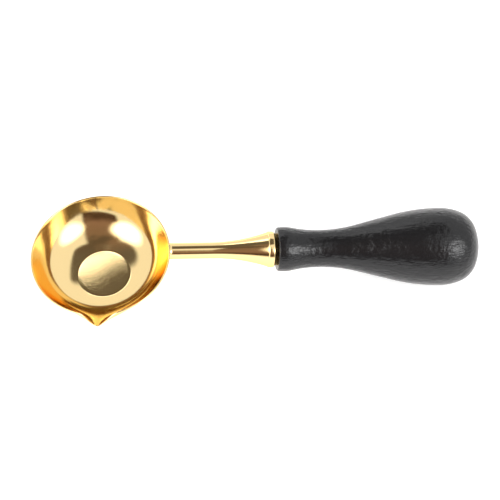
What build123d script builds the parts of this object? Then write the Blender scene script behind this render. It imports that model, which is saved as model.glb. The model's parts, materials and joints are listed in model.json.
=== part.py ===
from build123d import *
import os
from math import asin, atan, atan2, cos, degrees, hypot, pi, radians, sin, sqrt, tan

os.makedirs("parts", exist_ok=True)

# Sealing-wax melting spoon: a pressed brass bowl with a drawn pouring lip, a turned
# brass stem brazed under its rim, and a turned wooden handle screwed on by a stud.
# Millimetres. The spoon lies as on a table, on the far edge of its foot and on the
# handle's bulb: +X runs from the bowl to the handle, +Z is up, the lip points to -Y.

# Bowl
rim_dia = 40.0
foot_dia = 15.4
bowl_depth = 10.8          # rim down to the underside of the foot
wall = 0.55
flare_share = 0.3          # part of the wall's climb that is a plain cone
curl_power = 3.2           # how late the rest of the climb comes

# Pouring lip
lip_bearing = 96.0         # degrees round from the handle, clockwise from above
lip_reach = 3.65           # beyond the round rim
lip_half_angle = 15.5      # degrees of rim that the lip takes, each side of its tip
lip_depth = 8.0            # below the rim, where its channel has faded out

# Stem, measured along its axis from the bowl's wall
stem_dia = 4.5
stem_drop = 2.3            # its axis below the rim, at the wall
droop = 11.0               # degrees that the stem and handle slope below the rim's plane
shank_length = 12.35
trumpet_length = 16.0
trumpet_dia = 9.7
collar_dia = 10.2
collar_width = 1.95
collar_edge = 0.2          # broken edges of the collar
spigot_dia = 9.1
spigot_width = 0.85

# Ring of braze round the stem's root
braze_dia = 5.8
braze_width = 1.1

# Stud
thread_dia = 6.0
thread_length = 5.6
screw_dia = 5.2
screw_length = 20.0
screw_point = 4.0
stud_chamfer = 0.6
stud_clearance = 0.05      # round the stud, in both its holes
hole_spare = 0.6           # beyond each end of the stud

# Handle, measured along its axis from its front face
handle_length = 58.0
bead_dia = 12.66           # the rounded front, behind a small broken edge
bead_at = 2.0
bead_round = 10.4
broken_edge = 0.35
neck_dia = 10.5
neck_at = 12.25
hollow_round = 41.0        # from the neck to the straight part of the swelling
swell_slope = 14.4         # degrees
bulb_dia = 22.12
bulb_share = 0.8           # of the handle's length, to just before the bulb's widest place
bulb_onward = 0.4          # from there to the widest place
side_round = 16.1          # from the bulb to the corner
corner_round = 7.5
cap_round = 15.9           # round the end

rim_r = rim_dia / 2
foot_r = foot_dia / 2
stem_r = stem_dia / 2
bulb_r = bulb_dia / 2
bulb_at = bulb_share * handle_length + bulb_onward
collar_at = shank_length + trumpet_length
stem_length = collar_at + collar_width + spigot_width


def climb(share):
    """Height of the outer wall above the foot, at a share of the way out to the rim."""
    return bowl_depth * (flare_share * share + (1 - flare_share) * share**curl_power)


def wall_point(share, inset):
    """Radius and height from the rim of a point set in from the outer wall, square to it."""
    bend = (1 - flare_share) * curl_power * share ** (curl_power - 1)
    angle = atan(bowl_depth * (flare_share + bend) / (rim_r - foot_r))
    radius = foot_r + (rim_r - foot_r) * share - inset * sin(angle)
    return radius, climb(share) - bowl_depth + inset * cos(angle)


def wall_radius(height):
    """Outer radius of the round wall at a height from the rim, by halving."""
    low, high = 0.0, 1.0
    for _ in range(40):
        middle = (low + high) / 2
        if climb(middle) - bowl_depth < height:
            low = middle
        else:
            high = middle
    return foot_r + (rim_r - foot_r) * low


def ring(share, inset):
    """One level outline of the wall: a round arc, closed by the bulge of the lip."""
    radius, height = wall_point(share, inset)
    fade = min(1.0, max(0.0, 1 + height / lip_depth))
    reach = lip_reach * fade * fade * (3 - 2 * fade)
    tip = radians(-lip_bearing)
    half = radians(lip_half_angle)

    def at(turn, bulge=0.0):
        out = radius + bulge
        return Vector(out * cos(tip + turn), out * sin(tip + turn), height)

    def along(turn):
        return Vector(-sin(tip + turn), cos(tip + turn), 0)

    steps = [step / 4 for step in range(-4, 5)]
    bulge = [at(half * step, reach * cos(pi / 2 * step) ** 2) for step in steps]
    back = ThreePointArc(at(half), at(pi), at(-half))
    return Wire([Spline(bulge, tangents=[along(-half), along(half)]), back])


def wall_form(inset, top_share):
    """The solid inside the wall, set in by some of its thickness."""
    shares = [0, 0.2, 0.4, 0.56, 0.7, 0.82, 0.92, top_share]
    return Solid.make_loft([ring(share, inset) for share in shares])


def make_bowl(outside):
    """Pressed brass dish with a flat foot, an open top and the drawn lip."""
    inner_top = 1 + 2 * wall / (rim_r - foot_r)
    return Part() + outside - wall_form(wall, inner_top)


def turned(outline):
    """A turned piece: half its outline in X and Y, spun about the X axis."""
    return revolve(make_face(outline), Axis.X)


def ogee(start, end, first_radius):
    """Two arcs that leave and arrive along X and meet where they turn the other way."""
    reach, rise = end[0] - start[0], end[1] - start[1]
    both_radii = (reach**2 + rise**2) / (2 * abs(rise))
    share = first_radius / both_radii
    turn = (start[0] + share * reach, start[1] + share * rise)
    leave = TangentArc(start, turn, tangent=(1, 0))
    return leave + TangentArc(turn, end, tangent=(-1, 0), tangent_from_first=False)


def make_stem(mouth):
    """Turned shank, trumpet, collar and spigot, tapped from behind and coped to the bowl."""
    root = -2 * wall
    collar_end = collar_at + collar_width
    collar_r = collar_dia / 2
    shank = Polyline((root, 0), (root, stem_r), (shank_length, stem_r))
    flare = TangentArc((shank_length, stem_r), (collar_at, trumpet_dia / 2), tangent=(1, 0))
    collar = Polyline(
        (collar_at, trumpet_dia / 2),
        (collar_at, collar_r - collar_edge),
        (collar_at + collar_edge, collar_r),
        (collar_end - collar_edge, collar_r),
        (collar_end, collar_r - collar_edge),
    )
    spigot = Polyline(
        (collar_end, collar_r - collar_edge),
        (collar_end, spigot_dia / 2),
        (stem_length, spigot_dia / 2),
        (stem_length, 0),
        (root, 0),
    )
    stem = turned(shank + flare + collar + spigot)
    hole_r = thread_dia / 2 + stud_clearance
    hole_depth = thread_length + hole_spare
    drill = Polyline(
        (stem_length, 0),
        (stem_length, hole_r),
        (stem_length - hole_depth, hole_r),
        (stem_length - hole_depth - hole_r / 2, 0),
        (stem_length, 0),
    )
    return stem_place * (stem - turned(drill)) - mouth


def make_braze(mouth):
    """Hollow-sided ring of silver solder between the shank and the bowl's wall."""
    root = -2 * wall
    sweep = TangentArc(
        (0, braze_dia / 2), (braze_width, stem_r), tangent=(-1, 0), tangent_from_first=False
    )
    ring_outline = sweep + Polyline(
        (braze_width, stem_r), (root, stem_r), (root, braze_dia / 2), (0, braze_dia / 2)
    )
    above_rim = Pos(0, 0, braze_dia) * Box(3 * rim_dia, 3 * rim_dia, 2 * braze_dia)
    return stem_place * turned(ring_outline) - mouth - above_rim


def make_stud():
    """Hanger bolt: machine thread into the stem's collar, wood screw into the handle."""
    thread_r = thread_dia / 2
    screw_r = screw_dia / 2
    return stem_place * turned(
        Polyline(
            (stem_length - thread_length, 0),
            (stem_length - thread_length, thread_r - stud_chamfer),
            (stem_length - thread_length + stud_chamfer, thread_r),
            (stem_length, thread_r),
            (stem_length, screw_r),
            (stem_length + screw_length - screw_point, screw_r),
            (stem_length + screw_length, 0),
            (stem_length - thread_length, 0),
        )
    )


def make_handle():
    """Turned wood: a bead behind the front face, a waist, a long swelling and a blunt end."""
    neck_r = neck_dia / 2
    bead_top = (bead_at, bead_dia / 2)
    front_r = bead_dia / 2 - bead_round + sqrt(bead_round**2 - bead_at**2)
    bead = TangentArc((0, front_r), bead_top, tangent=(-1, 0), tangent_from_first=False)
    waist = ogee(bead_top, (neck_at, neck_r), bead_round)

    # The straight part of the swelling touches the hollow's arc and the bulb's.
    slope = radians(swell_slope)
    foot = Vector(neck_at + hollow_round * sin(slope), neck_r + hollow_round * (1 - cos(slope)))
    short = bulb_r - foot.Y - tan(slope) * (bulb_at - foot.X)
    bulb_round = short / (1 - cos(slope) - tan(slope) * sin(slope))
    head = Vector(bulb_at - bulb_round * sin(slope), bulb_r - bulb_round * (1 - cos(slope)))
    hollow = TangentArc((neck_at, neck_r), foot, tangent=(1, 0))
    swell = TangentArc(head, (bulb_at, bulb_r), tangent=(-1, 0), tangent_from_first=False)

    # The corner's arc touches the side's and the cap's from within.
    side_mid = Vector(bulb_at, bulb_r - side_round)
    cap_mid = Vector(handle_length - cap_round, 0)
    apart = cap_mid - side_mid
    to_side, to_cap = side_round - corner_round, cap_round - corner_round
    along = (to_side**2 - to_cap**2 + apart.length**2) / (2 * apart.length)
    away = sqrt(to_side**2 - along**2)
    corner_mid = side_mid + apart.normalized() * along + Vector(apart.Y, -apart.X).normalized() * away
    side_end = corner_mid + (corner_mid - side_mid).normalized() * corner_round
    cap_end = corner_mid + (corner_mid - cap_mid).normalized() * corner_round
    side = RadiusArc((bulb_at, bulb_r), side_end, -side_round)
    corner = RadiusArc(side_end, cap_end, -corner_round)
    cap = CenterArc(cap_mid, cap_round, 0, degrees(asin(cap_end.Y / cap_round)))

    outline = bead + waist + hollow + Line(foot, head) + swell + side + corner + cap
    outline += Polyline((handle_length, 0), (0, 0), (0, front_r))
    profile = make_face(outline)
    front_edge = profile.vertices().group_by(Axis.X)[0].sort_by(Axis.Y)[-1]
    turned_wood = revolve(chamfer(front_edge, broken_edge), Axis.X)
    screw_r = screw_dia / 2 + stud_clearance
    drill = Polyline(
        (0, 0),
        (0, screw_r),
        (screw_length - screw_point + hole_spare, screw_r),
        (screw_length + hole_spare, 0),
        (0, 0),
    )
    return stem_place * Pos(stem_length, 0, 0) * (turned_wood - turned(drill))


# The stem's axis starts on the wall's outside, and the bulb's centre lies along it.
root_x = wall_radius(-stem_drop)
stem_place = Location((root_x, 0, -stem_drop), (0, droop, 0))
bulb_x = root_x + (stem_length + bulb_at) * cos(radians(droop))
bulb_z = -stem_drop - (stem_length + bulb_at) * sin(radians(droop))

# At rest the spoon tilts until the foot's far edge and the bulb are at one height.
span = bulb_x + foot_r
fall = bulb_z + bowl_depth
tilt = asin(bulb_r / hypot(span, fall)) - atan2(fall, span)
lift = foot_r * sin(tilt) + bowl_depth * cos(tilt)

outside = wall_form(0, 1)
mouth = Part() + outside + extrude(make_face(ring(1, 0)), braze_dia, dir=(0, 0, 1))
pieces = {
    "bowl": make_bowl(outside),
    "braze_ring": make_braze(mouth),
    "stem": make_stem(mouth),
    "hanger_bolt": make_stud(),
    "handle": make_handle(),
}
at_rest = {
    name: Pos(0, 0, lift) * Rot(0, -degrees(tilt), 0) * piece for name, piece in pieces.items()
}
boxes = [piece.bounding_box() for piece in at_rest.values()]
middle_x = (min(box.min.X for box in boxes) + max(box.max.X for box in boxes)) / 2
middle_y = (min(box.min.Y for box in boxes) + max(box.max.Y for box in boxes)) / 2
for name, piece in at_rest.items():
    export_step(Pos(-middle_x, -middle_y, 0) * piece, f"parts/{name}.step")
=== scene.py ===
import json
from math import asin, atan, cos, pi, radians, sin, sqrt, tan

import bmesh
import bpy
from mathutils import Matrix, Vector


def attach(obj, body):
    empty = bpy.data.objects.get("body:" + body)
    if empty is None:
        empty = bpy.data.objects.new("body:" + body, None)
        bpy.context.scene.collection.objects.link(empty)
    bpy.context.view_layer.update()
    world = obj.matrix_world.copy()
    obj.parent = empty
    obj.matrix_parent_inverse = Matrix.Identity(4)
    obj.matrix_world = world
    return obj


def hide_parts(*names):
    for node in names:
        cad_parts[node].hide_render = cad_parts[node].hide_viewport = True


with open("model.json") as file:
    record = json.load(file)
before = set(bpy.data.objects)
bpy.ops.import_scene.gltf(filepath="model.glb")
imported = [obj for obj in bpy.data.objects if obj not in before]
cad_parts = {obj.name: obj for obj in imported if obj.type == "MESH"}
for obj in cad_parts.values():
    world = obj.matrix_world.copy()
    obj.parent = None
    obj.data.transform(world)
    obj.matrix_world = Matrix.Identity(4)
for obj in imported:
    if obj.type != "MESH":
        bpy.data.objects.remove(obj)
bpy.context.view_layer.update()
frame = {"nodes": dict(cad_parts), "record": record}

# The bowl: a dish pressed from brass sheet, then gold plated and polished. It has a flat
# foot with a crisp edge, a wall that steepens to a rounded rim, and a pouring lip that
# is drawn out of the wall with a V-shaped tool.
MM = 0.001
rim_radius = 20.0 * MM
foot_radius = 7.7 * MM
bowl_depth = 10.8 * MM
sheet = 0.55 * MM
flare_share = 0.3
curl_power = 3.2
floor_crown = 0.5 * MM
floor_groove = 0.2 * MM
wall_gain = 0.14 * MM
wall_loss = 0.24 * MM
wall_spread = 0.2 * MM
lip_bearing = radians(96)
lip_reach = 3.65 * MM
lip_half_angle = radians(16.5)
lip_depth = 8.0 * MM
lip_spread = 1.8

foot = frame["record"]["mounts"][0]
bowl_up = -Vector(foot["axis"]).normalized()
spoon_side = Vector((0, 1, 0))
rim_centre = Vector(foot["pos_m"]) + bowl_depth * bowl_up
rim_ahead = spoon_side.cross(bowl_up)
bowl_place = Matrix.Translation(rim_centre) @ Matrix((rim_ahead, spoon_side, bowl_up)).transposed().to_4x4()


def wall_point(share, inset):
    """Radius and height from the rim, for a point set in square to the outer wall."""
    bend = (1 - flare_share) * curl_power * share ** (curl_power - 1)
    angle = atan(bowl_depth * (flare_share + bend) / (rim_radius - foot_radius))
    rise = bowl_depth * (flare_share * share + (1 - flare_share) * share**curl_power)
    radius = foot_radius + (rim_radius - foot_radius) * share - inset * sin(angle)
    return radius, rise - bowl_depth + inset * cos(angle)


def spun(outline, axis, steps):
    """A bmesh of an outline of points, turned once round an axis through the origin."""
    mesh = bmesh.new()
    points = [mesh.verts.new(point) for point in outline]
    for pair in zip(points, points[1:]):
        mesh.edges.new(pair)
    bmesh.ops.spin(
        mesh, geom=mesh.verts[:] + mesh.edges[:], cent=(0, 0, 0), axis=axis,
        angle=2 * pi, steps=steps, use_merge=True,
    )
    bmesh.ops.remove_doubles(mesh, verts=mesh.verts, dist=1e-7)
    bmesh.ops.recalc_face_normals(mesh, faces=mesh.faces)
    return mesh


def piece_from(mesh, name, place):
    """A smooth object from a bmesh, with its place in its mesh."""
    mesh.transform(place)
    data = bpy.data.meshes.new(name)
    mesh.to_mesh(data)
    mesh.free()
    data.polygons.foreach_set("use_smooth", [True] * len(data.polygons))
    piece = bpy.data.objects.new(name, data)
    bpy.context.scene.collection.objects.link(piece)
    return piece

# The wall, a little steeper inside near its thinned and rolled rim, and the domed floor.
def drawn_wall(share, inner):
    """A point of the wall's inner or outer surface, as drawn by the press."""
    late = min(1.0, max(0.0, (share - 0.62) / 0.3))
    late = late**2 * (3 - 2 * late)
    inset = sheet + wall_gain * late if inner else wall_loss * late
    return wall_point(share, inset - wall_spread * share)


rim_share = 0.985
climbing = [rim_share * step / 60 for step in range(61)]
outer_wall = [drawn_wall(share, False) for share in climbing]
groove_share = floor_groove / (rim_radius - foot_radius)
inner_wall = [drawn_wall(share, True) for share in reversed(climbing) if share > groove_share]
outer_edge, inner_edge = Vector(outer_wall[-1]), Vector(inner_wall[0])
edge_mid, half_rim = (outer_edge + inner_edge) / 2, (outer_edge - inner_edge).length / 2
lean = atan((outer_edge.y - inner_edge.y) / (outer_edge.x - inner_edge.x))
rolled = [lean + pi * step / 12 for step in range(1, 12)]
rim_edge = [(edge_mid.x + half_rim * cos(turn), edge_mid.y + half_rim * sin(turn)) for turn in rolled]
floor_radius, floor_height = wall_point(0, sheet)
dome_share = 1 - floor_groove / floor_radius
across = [dome_share * step / 40 for step in range(40, -1, -1)]
floor_line = [(floor_radius * share, floor_height + floor_crown * (1 - share**2)) for share in across]
groove_line = []
for step in range(1, 12):
    t = step / 12
    groove_ends = zip(inner_wall[-1], (floor_radius, floor_height), floor_line[0])
    groove_line.append(tuple((1 - t) ** 2 * a + 2 * t * (1 - t) * b + t * t * c for a, b, c in groove_ends))
under_foot = [(foot_radius * step / 6, -bowl_depth) for step in range(6)]
section = under_foot + outer_wall + rim_edge + inner_wall + groove_line + floor_line
bowl_mesh = spun([(radius, 0, height) for radius, height in section], (0, 0, 1), 360)
for point in bowl_mesh.verts:
    deep = min(1.0, max(0.0, -point.co.z / lip_depth))
    spread = lip_half_angle * (1 + lip_spread * deep)
    turn = (Vector((cos(lip_bearing), -sin(lip_bearing), 0)).to_2d()).angle_signed(point.co.to_2d(), 9)
    if abs(turn) < spread:
        fade = 1 - deep
        bulge = lip_reach * fade**1.3 * cos(pi / 2 * abs(turn / spread) ** 0.8) ** 2
        point.co += point.co.to_2d().normalized().to_3d() * bulge
bowl = piece_from(bowl_mesh, "bowl_dish", bowl_place)



class Sock:
    """A shader socket that adds Math nodes when it is used in an expression."""

    def __init__(self, finish, socket):
        self.finish, self.socket = finish, socket

    def maths(self, operation, *values):
        return self.finish.node("ShaderNodeMath", {"operation": operation}, *values)

    def __add__(self, other):
        return self.maths("ADD", self, other)

    def __radd__(self, other):
        return self.maths("ADD", other, self)

    def __sub__(self, other):
        return self.maths("SUBTRACT", self, other)

    def __rsub__(self, other):
        return self.maths("SUBTRACT", other, self)

    def __mul__(self, other):
        return self.maths("MULTIPLY", self, other)

    def __rmul__(self, other):
        return self.maths("MULTIPLY", other, self)

    def __pow__(self, other):
        return self.maths("POWER", self, other)


class Finish:
    """A material, or the world, that is built node by node."""

    def __init__(self, owner):
        owner.use_nodes = True
        self.owner, self.tree = owner, owner.node_tree
        self.tree.nodes.clear()

    def node(self, kind, settings, *values, out=0, **named):
        """Adds a node, sets it up, fills its sockets and returns one output."""
        made = self.tree.nodes.new(kind)
        for name, value in settings.items():
            if name == "stops":
                ramp = made.color_ramp
                while len(ramp.elements) < len(value):
                    ramp.elements.new(0.5)
                for stop, (place, colour) in zip(ramp.elements, value):
                    stop.position, stop.color = place, (*colour, 1)
            else:
                setattr(made, name, value)
        fills = list(enumerate(values)) + [(name.replace("_", " "), value) for name, value in named.items()]
        for key, value in fills:
            socket = made.inputs[key]
            if isinstance(value, Sock):
                self.tree.links.new(value.socket, socket)
            elif socket.type == "RGBA" and len(value) == 3:
                socket.default_value = (*value, 1)
            else:
                socket.default_value = value
        return Sock(self, made.outputs[out]) if made.outputs else None


plate = Finish(bpy.data.materials.new("gold_plate"))
on_piece = plate.node("ShaderNodeTexCoord", {}, out=3)
haze = plate.node("ShaderNodeTexNoise", {"noise_dimensions": "3D"}, Vector=on_piece, Scale=900.0, Detail=3.0)
floor_middle = rim_centre + (sheet + floor_crown - bowl_depth) * bowl_up
from_middle = plate.node("ShaderNodeVectorMath", {"operation": "DISTANCE"}, on_piece, tuple(floor_middle), out=1)
on_floor = plate.node("ShaderNodeMapRange", {}, from_middle, 6.6 * MM, 7.3 * MM, 1.0, 0.0)
sand = plate.node("ShaderNodeTexNoise", {}, Vector=on_piece, Scale=3600.0, Detail=2.0)
plate.node(
    "ShaderNodeOutputMaterial", {},
    plate.node(
        "ShaderNodeBsdfPrincipled", {},
        Base_Color=(0.98, 0.74, 0.36),
        Specular_Tint=(1.0, 0.84, 0.56),
        Metallic=1.0,
        Roughness=0.07 + 0.05 * haze + 0.03 * on_floor,
        Normal=plate.node(
            "ShaderNodeBump", {}, Strength=0.16, Distance=0.0003,
            Height=0.12 * haze + 1.0 * sand * on_floor,
        ),
    ),
)
bowl.data.materials.append(plate.owner)
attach(bowl, "root")
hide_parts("bowl")

# The stem: brass turned in one piece, with a plain shank that is coped to the bowl's wall,
# a trumpet, a rounded collar and a smaller spigot that meets the handle. It is tapped from
# behind for the bolt, and plated like the bowl.
stem_radius = 2.25 * MM
stem_drop = 2.3 * MM
droop = radians(11)
shank_length = 12.35 * MM
trumpet_length = 16.0 * MM
trumpet_radius = 4.85 * MM
collar_radius = 5.1 * MM
collar_width = 1.95 * MM
collar_round = 0.45 * MM
spigot_radius = 4.55 * MM
spigot_width = 0.85 * MM
collar_at = shank_length + trumpet_length
stem_length = collar_at + collar_width + spigot_width


def wall_radius(height):
    """Outer radius of the round wall at a height from the rim, by halving."""
    low, high = 0.0, 1.0
    for _ in range(40):
        middle = (low + high) / 2
        below = wall_point(middle, 0)[1] < height
        low, high = (middle, high) if below else (low, middle)
    return wall_point(low, 0)[0]


def coped(mesh, root, top):
    """Ends a turned mesh inside the bowl's wall, and keeps it below a height from the rim."""
    for point in mesh.verts:
        meeting = point.co.copy()
        for _ in range(6):
            near = stem_from_bowl @ meeting
            ahead = wall_radius(min(near.z, 0)) - sheet / 2 - near.to_2d().length
            meeting.x += ahead / cos(droop)
        if point.co.x < root or point.co.x < meeting.x:
            point.co.x = meeting.x
        near = stem_from_bowl @ point.co
        if near.z > top:
            near.z = top
            point.co = stem_from_bowl.inverted() @ near
    bmesh.ops.remove_doubles(mesh, verts=mesh.verts, dist=1e-7)
    return mesh


stem_root = Vector((wall_radius(-stem_drop), 0, -stem_drop))
stem_from_bowl = Matrix.Translation(stem_root) @ Matrix.Rotation(droop, 4, "Y")
stem_place = bowl_place @ stem_from_bowl


def arc_of(centre, radius, start, stop, steps):
    """Points along an arc in X and Z between two angles, from its centre."""
    turns = [start + (stop - start) * step / steps for step in range(steps + 1)]
    return [(centre[0] + radius * cos(turn), centre[1] + radius * sin(turn)) for turn in turns]


flare_rise = trumpet_radius - stem_radius
flare_round = (trumpet_length**2 + flare_rise**2) / (2 * flare_rise)
flare_turn = asin(trumpet_length / flare_round)
flare_mid = (shank_length, stem_radius + flare_round)
flare = arc_of(flare_mid, flare_round, -pi / 2, flare_turn - pi / 2, 32)
shank = [(-sheet / 2 + (shank_length + sheet / 2) * step / 12, stem_radius) for step in range(12)]
collar_top = collar_radius - collar_round
collar = arc_of((collar_at + collar_round, collar_top), collar_round, radians(150), pi / 2, 8)
collar += arc_of((collar_at + collar_width - collar_round, collar_top), collar_round, pi / 2, 0, 8)
spigot = [(collar_at + collar_width, spigot_radius + 0.0001), (collar_at + collar_width, spigot_radius)]
spigot += [(stem_length, spigot_radius), (stem_length, 0)]
stem_line = [(-sheet / 2, 0)] + shank + flare + collar + spigot
stem_mesh = coped(spun([(x, 0, z) for x, z in stem_line], (1, 0, 0), 128), 0.0, 1.0)
stem = piece_from(stem_mesh, "stem_turned", stem_place)
stem.data.materials.append(plate.owner)
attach(stem, "root")
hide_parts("stem")

# The ring of braze: silver solder that has run round the root of the shank, where it is
# joined to the bowl under the rim, then plated over with the rest.
braze_radius = 2.9 * MM
braze_width = 1.1 * MM
run_rise = braze_radius - stem_radius
run_round = (braze_width**2 + run_rise**2) / (2 * run_rise)
run_mid = (braze_width, stem_radius + run_round)
run_out = arc_of(run_mid, run_round, -pi / 2 - asin(braze_width / run_round), -pi / 2, 12)
run_out += [(braze_width, stem_radius - 0.00002)]
braze_line = [(-sheet / 2, stem_radius - 0.0001), (-sheet / 2, braze_radius)] + run_out
braze_mesh = coped(spun([(x, 0, z) for x, z in braze_line], (1, 0, 0), 96), -sheet / 4, -0.1 * MM)
braze = piece_from(braze_mesh, "braze_fillet", stem_place)
braze.data.materials.append(plate.owner)
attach(braze, "root")
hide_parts("braze_ring")

# The hanger bolt: zinc-plated steel, hidden in the stem and the handle that it joins.
bolt = frame["nodes"]["hanger_bolt"]
zinc = Finish(bpy.data.materials.new("zinc_plate"))
zinc_grain = zinc.node("ShaderNodeTexNoise", {}, Vector=zinc.node("ShaderNodeTexCoord", {}, out=3), Scale=1500.0)
zinc.node(
    "ShaderNodeOutputMaterial", {},
    zinc.node(
        "ShaderNodeBsdfPrincipled", {},
        Base_Color=(0.6, 0.6, 0.62), Metallic=1.0, Roughness=0.25 + 0.2 * zinc_grain,
    ),
)
bolt.data.materials.clear()
bolt.data.materials.append(zinc.owner)

# The handle: turned beech with a waist, a long swelling and a blunt round end, dipped in
# black satin lacquer that lets the grain's pores and the lathe's ripples through.
handle_length = 58.0 * MM
bead_radius = 6.33 * MM
bead_at = 2.0 * MM
bead_round = 10.4 * MM
front_round = 0.5 * MM
neck_radius = 5.25 * MM
neck_at = 12.25 * MM
hollow_round = 41.0 * MM
swell_slope = radians(14.4)
bulb_radius = 11.06 * MM
bulb_at = 46.8 * MM
side_round = 16.1 * MM
corner_round = 7.5 * MM
cap_round = 15.9 * MM

# The bead's arc runs on into the waist's, which turns the other way at their shared point.
waist_reach, waist_drop = neck_at - bead_at, bead_radius - neck_radius
waist_round = (waist_reach**2 + waist_drop**2) / (2 * waist_drop) - bead_round
waist_turn = asin(waist_reach / (bead_round + waist_round))
front_turn = asin((bead_at - front_round) / bead_round)
bead_mid = (bead_at, bead_radius - bead_round)
front_corner = bead_mid[1] + bead_round * cos(front_turn)
handle_line = [(0, 0), (0, 0.5 * bead_radius)]
handle_line += arc_of((front_round, front_corner - front_round), front_round, pi, pi / 2 + front_turn, 8)
handle_line += arc_of(bead_mid, bead_round, pi / 2 + front_turn, pi / 2 - waist_turn, 16)[1:]
waist_mid = (neck_at, neck_radius + waist_round)
handle_line += arc_of(waist_mid, waist_round, -pi / 2 - waist_turn, -pi / 2, 16)[1:]

# The swelling: a hollow arc, a straight part that touches it, and the bulb's arc.
hollow_mid = (neck_at, neck_radius + hollow_round)
hollow_line = arc_of(hollow_mid, hollow_round, -pi / 2, swell_slope - pi / 2, 16)
foot_x, foot_z = hollow_line[-1]
missing = bulb_radius - foot_z - tan(swell_slope) * (bulb_at - foot_x)
bulb_round = missing / (1 - cos(swell_slope) - tan(swell_slope) * sin(swell_slope))
bulb_mid = (bulb_at, bulb_radius - bulb_round)
handle_line += hollow_line[1:]
handle_line += arc_of(bulb_mid, bulb_round, pi / 2 + swell_slope, pi / 2, 20)

# The end: the side's arc, a corner that touches it and the cap's arc from within.
side_mid = Vector((bulb_at, bulb_radius - side_round))
cap_mid = Vector((handle_length - cap_round, 0))
apart = cap_mid - side_mid
to_side, to_cap = side_round - corner_round, cap_round - corner_round
along = (to_side**2 - to_cap**2 + apart.length_squared) / (2 * apart.length)
away = sqrt(to_side**2 - along**2)
corner_mid = side_mid + along * apart.normalized() + away * Vector((apart.y, -apart.x)).normalized()
side_turn = asin((corner_mid - side_mid).normalized().y)
cap_turn = asin((corner_mid - cap_mid).normalized().y)
handle_line += arc_of(side_mid, side_round, pi / 2, side_turn, 12)[1:]
handle_line += arc_of(corner_mid, corner_round, side_turn, cap_turn, 16)[1:]
handle_line += arc_of(cap_mid, cap_round, cap_turn, 0, 16)[1:]
handle_place = stem_place @ Matrix.Translation((stem_length, 0, 0))
handle = piece_from(spun([(x, 0, z) for x, z in handle_line], (1, 0, 0), 160), "handle_turned", handle_place)
lacquer = Finish(bpy.data.materials.new("black_lacquer"))
on_handle = lacquer.node("ShaderNodeTexCoord", {}, out=3)
along_grain = lacquer.node("ShaderNodeMapping", {}, Vector=on_handle, Scale=(0.2, 1.0, 1.0))
pores = lacquer.node("ShaderNodeTexNoise", {}, Vector=along_grain, Scale=1500.0, Detail=3.0, Roughness=0.6)
peel = lacquer.node("ShaderNodeTexNoise", {}, Vector=on_handle, Scale=500.0, Detail=2.0)
relief = 0.6 * pores + peel
lacquer.node(
    "ShaderNodeOutputMaterial", {},
    lacquer.node(
        "ShaderNodeBsdfPrincipled", {},
        Base_Color=(0.01, 0.01, 0.011),
        Roughness=0.1 + 0.2 * pores,
        Specular_IOR_Level=0.42,
        Normal=lacquer.node("ShaderNodeBump", {}, Strength=0.55, Distance=0.0004, Height=relief),
    ),
)
handle.data.materials.append(lacquer.owner)
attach(handle, "root")
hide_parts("handle")

# The floor: plain white paper under the spoon, which keeps its soft shadow.
floor_mesh = bmesh.new()
bmesh.ops.create_grid(floor_mesh, x_segments=2, y_segments=2, size=1.5)
floor = piece_from(floor_mesh, "floor", Matrix())
paper = Finish(bpy.data.materials.new("white_paper"))
camera_ray = paper.node("ShaderNodeLightPath", {}, out=0)
glossy_ray = paper.node("ShaderNodeLightPath", {}, out=3)
paper.node(
    "ShaderNodeOutputMaterial", {},
    paper.node(
        "ShaderNodeBsdfPrincipled", {},
        Base_Color=(0.94, 0.94, 0.94), Roughness=0.9,
        Emission_Color=0.4 * (camera_ray + glossy_ray), Emission_Strength=1.0,
    ),
)
floor.data.materials.append(paper.owner)

# The light: a white tent with a softbox to the left, one to the right and a low one
# behind. The ceiling and the gap between the first two, where the camera looks in, are dark.
tent = Finish(bpy.data.worlds.new("white_tent"))
bpy.context.scene.world = tent.owner
sky = tent.node("ShaderNodeTexCoord", {}, out=0)


def beyond(facing, edge, softness):
    """How far a direction in the sky is past a flat edge, from 0 to 1."""
    ahead = tent.node("ShaderNodeVectorMath", {"operation": "DOT_PRODUCT"}, sky, facing, out=1)
    smooth = {"interpolation_type": "SMOOTHSTEP"}
    return tent.node("ShaderNodeMapRange", smooth, ahead, edge - softness, edge + softness, 0.0, 1.0)


def toward(azimuth, elevation):
    """The direction at an azimuth from the camera's side and an elevation, in degrees."""
    flat = cos(radians(elevation))
    return flat * sin(radians(azimuth)), -flat * cos(radians(azimuth)), sin(radians(elevation))


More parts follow.
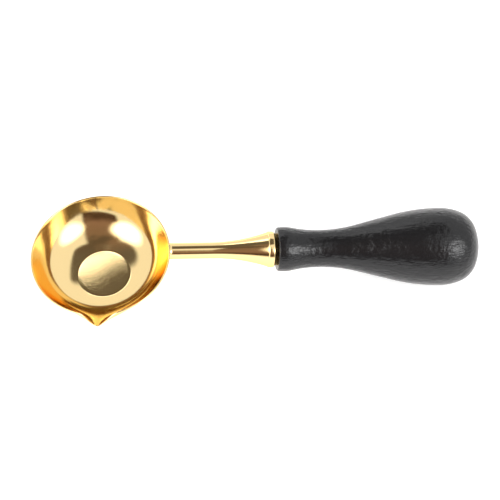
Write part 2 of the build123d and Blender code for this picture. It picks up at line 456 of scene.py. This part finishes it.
slot = beyond((0.785, -0.419, 0.454), 0.0, 0.06) * beyond((-0.947, -0.320, -0.013), 0.0, 0.05)
slot = slot * beyond((0.0, -1.0, 0.0), -0.1, 0.1) * beyond((0.0, 0.0, 1.0), 0.13, 0.03)
ceiling = beyond(toward(178, 71), cos(radians(23)), 0.02) * beyond((-1.0, 0.0, 0.0), -0.26, 0.03)
valance = beyond(toward(-117, 57), cos(radians(16)), 0.02)
left_box, left_lamp = beyond(toward(-65, 33), 0.91, 0.042), beyond(toward(-65, 33), 0.97, 0.03)
right_box, right_lamp = beyond(toward(45, 38), 0.93, 0.036), beyond(toward(45, 38), 0.98, 0.02)
back_box = beyond((0.0, 1.0, 0.0), 0.54, 0.03) * beyond((0.0, 0.0, 1.0), 0.62, 0.03)
back_box = back_box * beyond((1.0, 0.0, 0.0), -0.46, 0.03) * beyond((-1.0, 0.0, 0.0), -0.04, 0.03)
boxes = left_box + right_box
dark_part = 1.0 - (1.0 - slot) * (1.0 - ceiling) * (1.0 - valance)
gap = dark_part * (1.0 - boxes)
lamps = 1.7 * boxes + 3.0 * left_lamp + 6.0 * right_lamp + 1.7 * back_box * (1.0 - gap)
streaks = tent.node("ShaderNodeTexNoise", {}, Vector=sky, Scale=3.0, Detail=1.0)
height = tent.node("ShaderNodeVectorMath", {"operation": "DOT_PRODUCT"}, sky, (0.0, 0.0, 1.0), out=1)
shade = 0.8 * height + 0.2 * streaks
brown = ((0.34, (0.09, 0.055, 0.04)), (0.55, (0.28, 0.18, 0.15)), (0.82, (0.24, 0.165, 0.13)), (0.88, (0.13, 0.1, 0.08)))
dark = tent.node(
    "ShaderNodeMixRGB", {}, beyond((0.0, 1.0, 0.0), 0.12, 0.15),
    tent.node("ShaderNodeValToRGB", {"stops": brown}, shade), (0.14, 0.125, 0.11),
)
tent.node(
    "ShaderNodeOutputWorld", {},
    tent.node(
        "ShaderNodeBackground", {}, Strength=1.0 + lamps,
        Color=tent.node("ShaderNodeMixRGB", {}, gap, (1.0, 1.0, 1.0), dark),
    ),
)

# The camera: a long lens from above the pouring lip, rolled so that the handle lies level.
aim = Vector((-1.482, 2.477, 11.0)) * MM
distance = 1134.3 * MM
camera_back = Vector((
    sin(radians(-12.8)) * cos(radians(57.39)),
    -cos(radians(-12.8)) * cos(radians(57.39)),
    sin(radians(57.39)),
))
lens = bpy.data.cameras.new("camera")
lens.sensor_width = 36.0
lens.lens = 288.0
lens.clip_end = 10.0
camera = bpy.data.objects.new("camera", lens)
level = camera_back.to_track_quat("Z", "Y").to_matrix().to_4x4()
roll = Matrix.Rotation(radians(9.13), 4, "Z")
camera.matrix_world = Matrix.Translation(aim + distance * camera_back) @ level @ roll
bpy.context.scene.collection.objects.link(camera)
bpy.context.scene.camera = camera
bpy.context.scene.view_settings.view_transform = "Standard"
